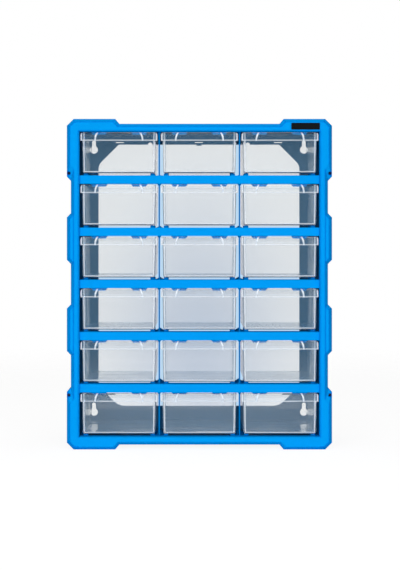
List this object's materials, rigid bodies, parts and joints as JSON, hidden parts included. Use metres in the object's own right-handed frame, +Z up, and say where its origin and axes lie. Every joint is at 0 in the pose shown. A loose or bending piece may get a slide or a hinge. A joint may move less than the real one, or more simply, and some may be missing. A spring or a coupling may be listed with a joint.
{
  "type": "parts bin cabinet",
  "caption": "Free-standing or wall-hung cabinet of small clear drawers that slide on runners between a blue front frame's rails and dividers, in a dark housing with an open rear window.",
  "frame": {"origin": "middle of the underside's outline, at the height of the surface that the cabinet stands on", "axes": "+X to the right seen from the front, the drawers open along -Y, +Y is the back, +Z up"},
  "size_m": [0.381, 0.16, 0.475],
  "materials": {
    "blue_plastic": "satin moulded blue plastic",
    "dark_plastic": "matt moulded navy plastic",
    "clear_plastic": "clear moulded plastic",
    "screws": "zinc-plated",
    "badge": "satin black"
  },
  "bodies": {
    "cabinet": {"front_frame": "blue_plastic", "rear_housing": "dark_plastic", "badge_plate": "badge", "frame_screws": "screws", "shelf_rail_1": "blue_plastic", "shelf_rail_2": "blue_plastic", "shelf_rail_3": "blue_plastic", "shelf_rail_4": "blue_plastic", "shelf_rail_5": "blue_plastic", "divider_1": "blue_plastic", "divider_2": "blue_plastic", "runners_row_1": "blue_plastic", "runners_row_2": "blue_plastic", "runners_row_3": "blue_plastic", "runners_row_4": "blue_plastic", "runners_row_5": "blue_plastic", "runners_row_6": "blue_plastic"},
    "drawer_r1_c1": {"drawer_r1_c1": "clear_plastic"},
    "drawer_r1_c2": {"drawer_r1_c2": "clear_plastic"},
    "drawer_r1_c3": {"drawer_r1_c3": "clear_plastic"},
    "drawer_r2_c1": {"drawer_r2_c1": "clear_plastic"},
    "drawer_r2_c2": {"drawer_r2_c2": "clear_plastic"},
    "drawer_r2_c3": {"drawer_r2_c3": "clear_plastic"},
    "drawer_r3_c1": {"drawer_r3_c1": "clear_plastic"},
    "drawer_r3_c2": {"drawer_r3_c2": "clear_plastic"},
    "drawer_r3_c3": {"drawer_r3_c3": "clear_plastic"},
    "drawer_r4_c1": {"drawer_r4_c1": "clear_plastic"},
    "drawer_r4_c2": {"drawer_r4_c2": "clear_plastic"},
    "drawer_r4_c3": {"drawer_r4_c3": "clear_plastic"},
    "drawer_r5_c1": {"drawer_r5_c1": "clear_plastic"},
    "drawer_r5_c2": {"drawer_r5_c2": "clear_plastic"},
    "drawer_r5_c3": {"drawer_r5_c3": "clear_plastic"},
    "drawer_r6_c1": {"drawer_r6_c1": "clear_plastic"},
    "drawer_r6_c2": {"drawer_r6_c2": "clear_plastic"},
    "drawer_r6_c3": {"drawer_r6_c3": "clear_plastic"}
  },
  "joints": [
    {"name": "drawer_r1_c1_slide", "type": "slide", "parent": "cabinet", "child": "drawer_r1_c1", "axis": [0, -1, 0], "range_m": [0, 0.128]},
    {"name": "drawer_r1_c2_slide", "type": "slide", "parent": "cabinet", "child": "drawer_r1_c2", "axis": [0, -1, 0], "range_m": [0, 0.128]},
    {"name": "drawer_r1_c3_slide", "type": "slide", "parent": "cabinet", "child": "drawer_r1_c3", "axis": [0, -1, 0], "range_m": [0, 0.128]},
    {"name": "drawer_r2_c1_slide", "type": "slide", "parent": "cabinet", "child": "drawer_r2_c1", "axis": [0, -1, 0], "range_m": [0, 0.128]},
    {"name": "drawer_r2_c2_slide", "type": "slide", "parent": "cabinet", "child": "drawer_r2_c2", "axis": [0, -1, 0], "range_m": [0, 0.128]},
    {"name": "drawer_r2_c3_slide", "type": "slide", "parent": "cabinet", "child": "drawer_r2_c3", "axis": [0, -1, 0], "range_m": [0, 0.128]},
    {"name": "drawer_r3_c1_slide", "type": "slide", "parent": "cabinet", "child": "drawer_r3_c1", "axis": [0, -1, 0], "range_m": [0, 0.128]},
    {"name": "drawer_r3_c2_slide", "type": "slide", "parent": "cabinet", "child": "drawer_r3_c2", "axis": [0, -1, 0], "range_m": [0, 0.128]},
    {"name": "drawer_r3_c3_slide", "type": "slide", "parent": "cabinet", "child": "drawer_r3_c3", "axis": [0, -1, 0], "range_m": [0, 0.128]},
    {"name": "drawer_r4_c1_slide", "type": "slide", "parent": "cabinet", "child": "drawer_r4_c1", "axis": [0, -1, 0], "range_m": [0, 0.128]},
    {"name": "drawer_r4_c2_slide", "type": "slide", "parent": "cabinet", "child": "drawer_r4_c2", "axis": [0, -1, 0], "range_m": [0, 0.128]},
    {"name": "drawer_r4_c3_slide", "type": "slide", "parent": "cabinet", "child": "drawer_r4_c3", "axis": [0, -1, 0], "range_m": [0, 0.128]},
    {"name": "drawer_r5_c1_slide", "type": "slide", "parent": "cabinet", "child": "drawer_r5_c1", "axis": [0, -1, 0], "range_m": [0, 0.128]},
    {"name": "drawer_r5_c2_slide", "type": "slide", "parent": "cabinet", "child": "drawer_r5_c2", "axis": [0, -1, 0], "range_m": [0, 0.128]},
    {"name": "drawer_r5_c3_slide", "type": "slide", "parent": "cabinet", "child": "drawer_r5_c3", "axis": [0, -1, 0], "range_m": [0, 0.128]},
    {"name": "drawer_r6_c1_slide", "type": "slide", "parent": "cabinet", "child": "drawer_r6_c1", "axis": [0, -1, 0], "range_m": [0, 0.128]},
    {"name": "drawer_r6_c2_slide", "type": "slide", "parent": "cabinet", "child": "drawer_r6_c2", "axis": [0, -1, 0], "range_m": [0, 0.128]},
    {"name": "drawer_r6_c3_slide", "type": "slide", "parent": "cabinet", "child": "drawer_r6_c3", "axis": [0, -1, 0], "range_m": [0, 0.128]}
  ]
}
